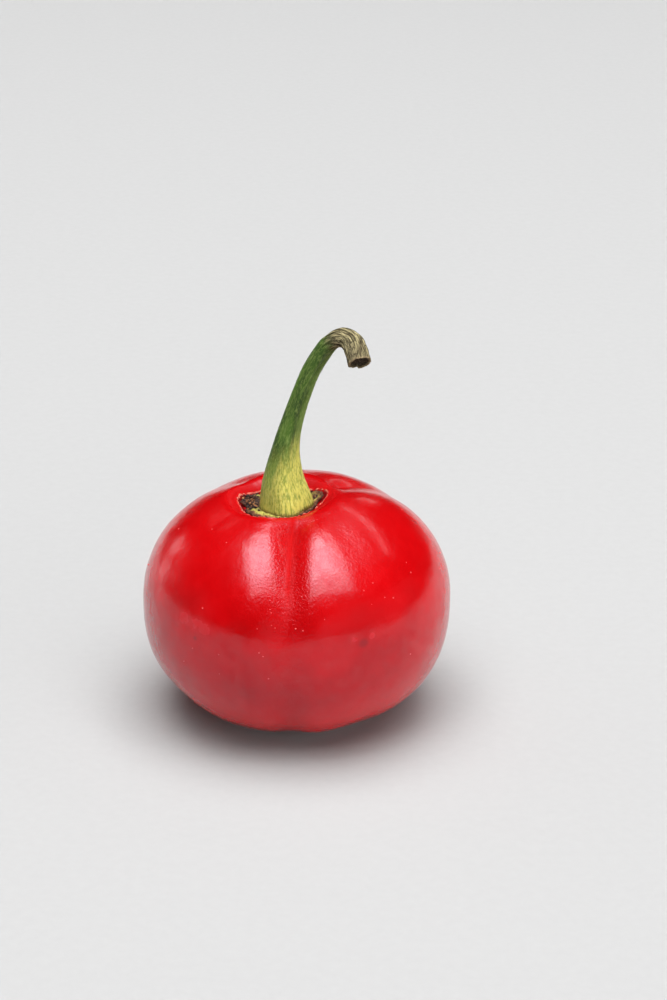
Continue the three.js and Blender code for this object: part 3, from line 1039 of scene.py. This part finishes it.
class Lamp(NamedTuple):
    """A rectangular light round the pepper: azimuth from the camera's side to the right, elevation,
    width and height in degrees, distance, how many degrees it leans over from facing the pepper, share
    of the brightness and whether glossy surfaces mirror it."""

    azimuth: float
    elevation: float
    width: float
    height: float
    distance: float = 1.5
    lean: float = 0
    share: float = 1
    mirrored: bool = True

    def hang(self, name, brightness):
        azimuth, elevation = math.radians(self.azimuth), math.radians(self.elevation)
        level = math.cos(elevation)
        towards = Vector((math.sin(azimuth) * level, -math.cos(azimuth) * level, math.sin(elevation)))
        light = bpy.data.lights.new(name, "AREA")
        light.shape = "RECTANGLE"
        light.size = 2 * self.distance * math.tan(math.radians(self.width / 2))
        light.size_y = 2 * self.distance * math.tan(math.radians(self.height / 2))
        light.energy = brightness * self.share * math.pi * light.size * light.size_y
        lamp = bpy.data.objects.new(name, light)
        lamp.location = PEPPER_MIDDLE + towards * self.distance
        lamp.rotation_euler = (math.radians(90 - self.elevation + self.lean), 0, azimuth)
        lamp.visible_glossy = self.mirrored
        bpy.context.scene.collection.objects.link(lamp)


# The core hangs under the softbox and the fill over it: where lamps share a plane, some light is lost
SOFTBOXES = {
    "softbox": Lamp(12, 91, 56, 68, lean=30, share=0.42),
    "softbox_core": Lamp(12, 91, 41, 44, 1.35, lean=30, share=0.6),
}
FILLS = {
    "top_fill": Lamp(12, 91, 56, 68, 1.7, lean=30, share=0.6, mirrored=False),
    "right_fill": Lamp(50, 15, 100, 22, mirrored=False),
    "left_fill": Lamp(-100, 12, 60, 18, share=0.5, mirrored=False),
}
PANELS = {
    "left_low_strip": Lamp(-124.5, 3, 9, 12, share=1.8),
    "left_high_strip": Lamp(-132, 15, 9, 12, share=1.8),
    "left_panel": Lamp(-149, 37, 10, 6, share=0.4),
    "right_panel": Lamp(137, 45, 43, 6, share=1.8),
    "back_strip": Lamp(164, 20, 6, 6, share=1.2),
}


class PEPPER_OT_stage(Operator):
    """Lay the pale floor, hang the lights and set up the camera"""

    bl_idname = "pepper.stage"
    bl_label = "Stage"
    bl_options = {"REGISTER", "UNDO"}

    def execute(self, context):
        scene = context.scene
        stage = scene.pepper_stage
        bm = bmesh.new()
        bmesh.ops.create_grid(bm, x_segments=8, y_segments=8, size=FLOOR_SIZE)
        add_piece(bm, "floor", floor_finish(stage))

        groups = ((SOFTBOXES, stage.softbox), (FILLS, stage.fill), (PANELS, stage.panels))
        for lamps, brightness in groups:
            for name, lamp in lamps.items():
                lamp.hang(name, brightness)

        data = bpy.data.cameras.new("camera")
        data.lens = stage.lens
        data.sensor_width = SENSOR_WIDTH
        data.clip_start = 0.01
        camera = bpy.data.objects.new("camera", data)
        camera.location = CAMERA_PLACE
        camera.rotation_euler = (math.radians(CAMERA_TILT), 0, 0)
        scene.collection.objects.link(camera)
        scene.camera = camera

        world = bpy.data.worlds.new("studio")
        world.use_nodes = True
        world.node_tree.nodes["Background"].inputs["Color"].default_value = DARK_ROOM
        scene.world = world
        scene.view_settings.view_transform = "Standard"
        return {"FINISHED"}


# ---- Sidebar ----

SETTINGS = {
    "pepper_pod": PodSettings,
    "pepper_calyx": CalyxSettings,
    "pepper_stalk": StalkSettings,
    "pepper_stage": StageSettings,
}
OPERATORS = (PEPPER_OT_pod, PEPPER_OT_calyx, PEPPER_OT_stalk, PEPPER_OT_stage)


class PEPPER_PT_parts(Panel):
    """Sizes, colours and operators of the pepper"""

    bl_idname = "PEPPER_PT_parts"
    bl_label = "Cherry Chilli Pepper"
    bl_space_type = "VIEW_3D"
    bl_region_type = "UI"
    bl_category = "Pepper"

    def draw(self, context):
        for (name, settings), operator in zip(SETTINGS.items(), OPERATORS):
            box = self.layout.box()
            for size in settings.__annotations__:
                box.prop(getattr(context.scene, name), size)
            box.operator(operator.bl_idname)


CLASSES = (*SETTINGS.values(), *OPERATORS, PEPPER_PT_parts)


def register():
    for each in CLASSES:
        bpy.utils.register_class(each)
    for name, settings in SETTINGS.items():
        setattr(bpy.types.Scene, name, PointerProperty(type=settings))


def unregister():
    for name in SETTINGS:
        delattr(bpy.types.Scene, name)
    for each in reversed(CLASSES):
        bpy.utils.unregister_class(each)


def main():
    register()
    bpy.ops.pepper.pod()
    bpy.ops.pepper.calyx()
    bpy.ops.pepper.stalk()
    bpy.ops.pepper.stage()


if __name__ == "__main__":
    main()
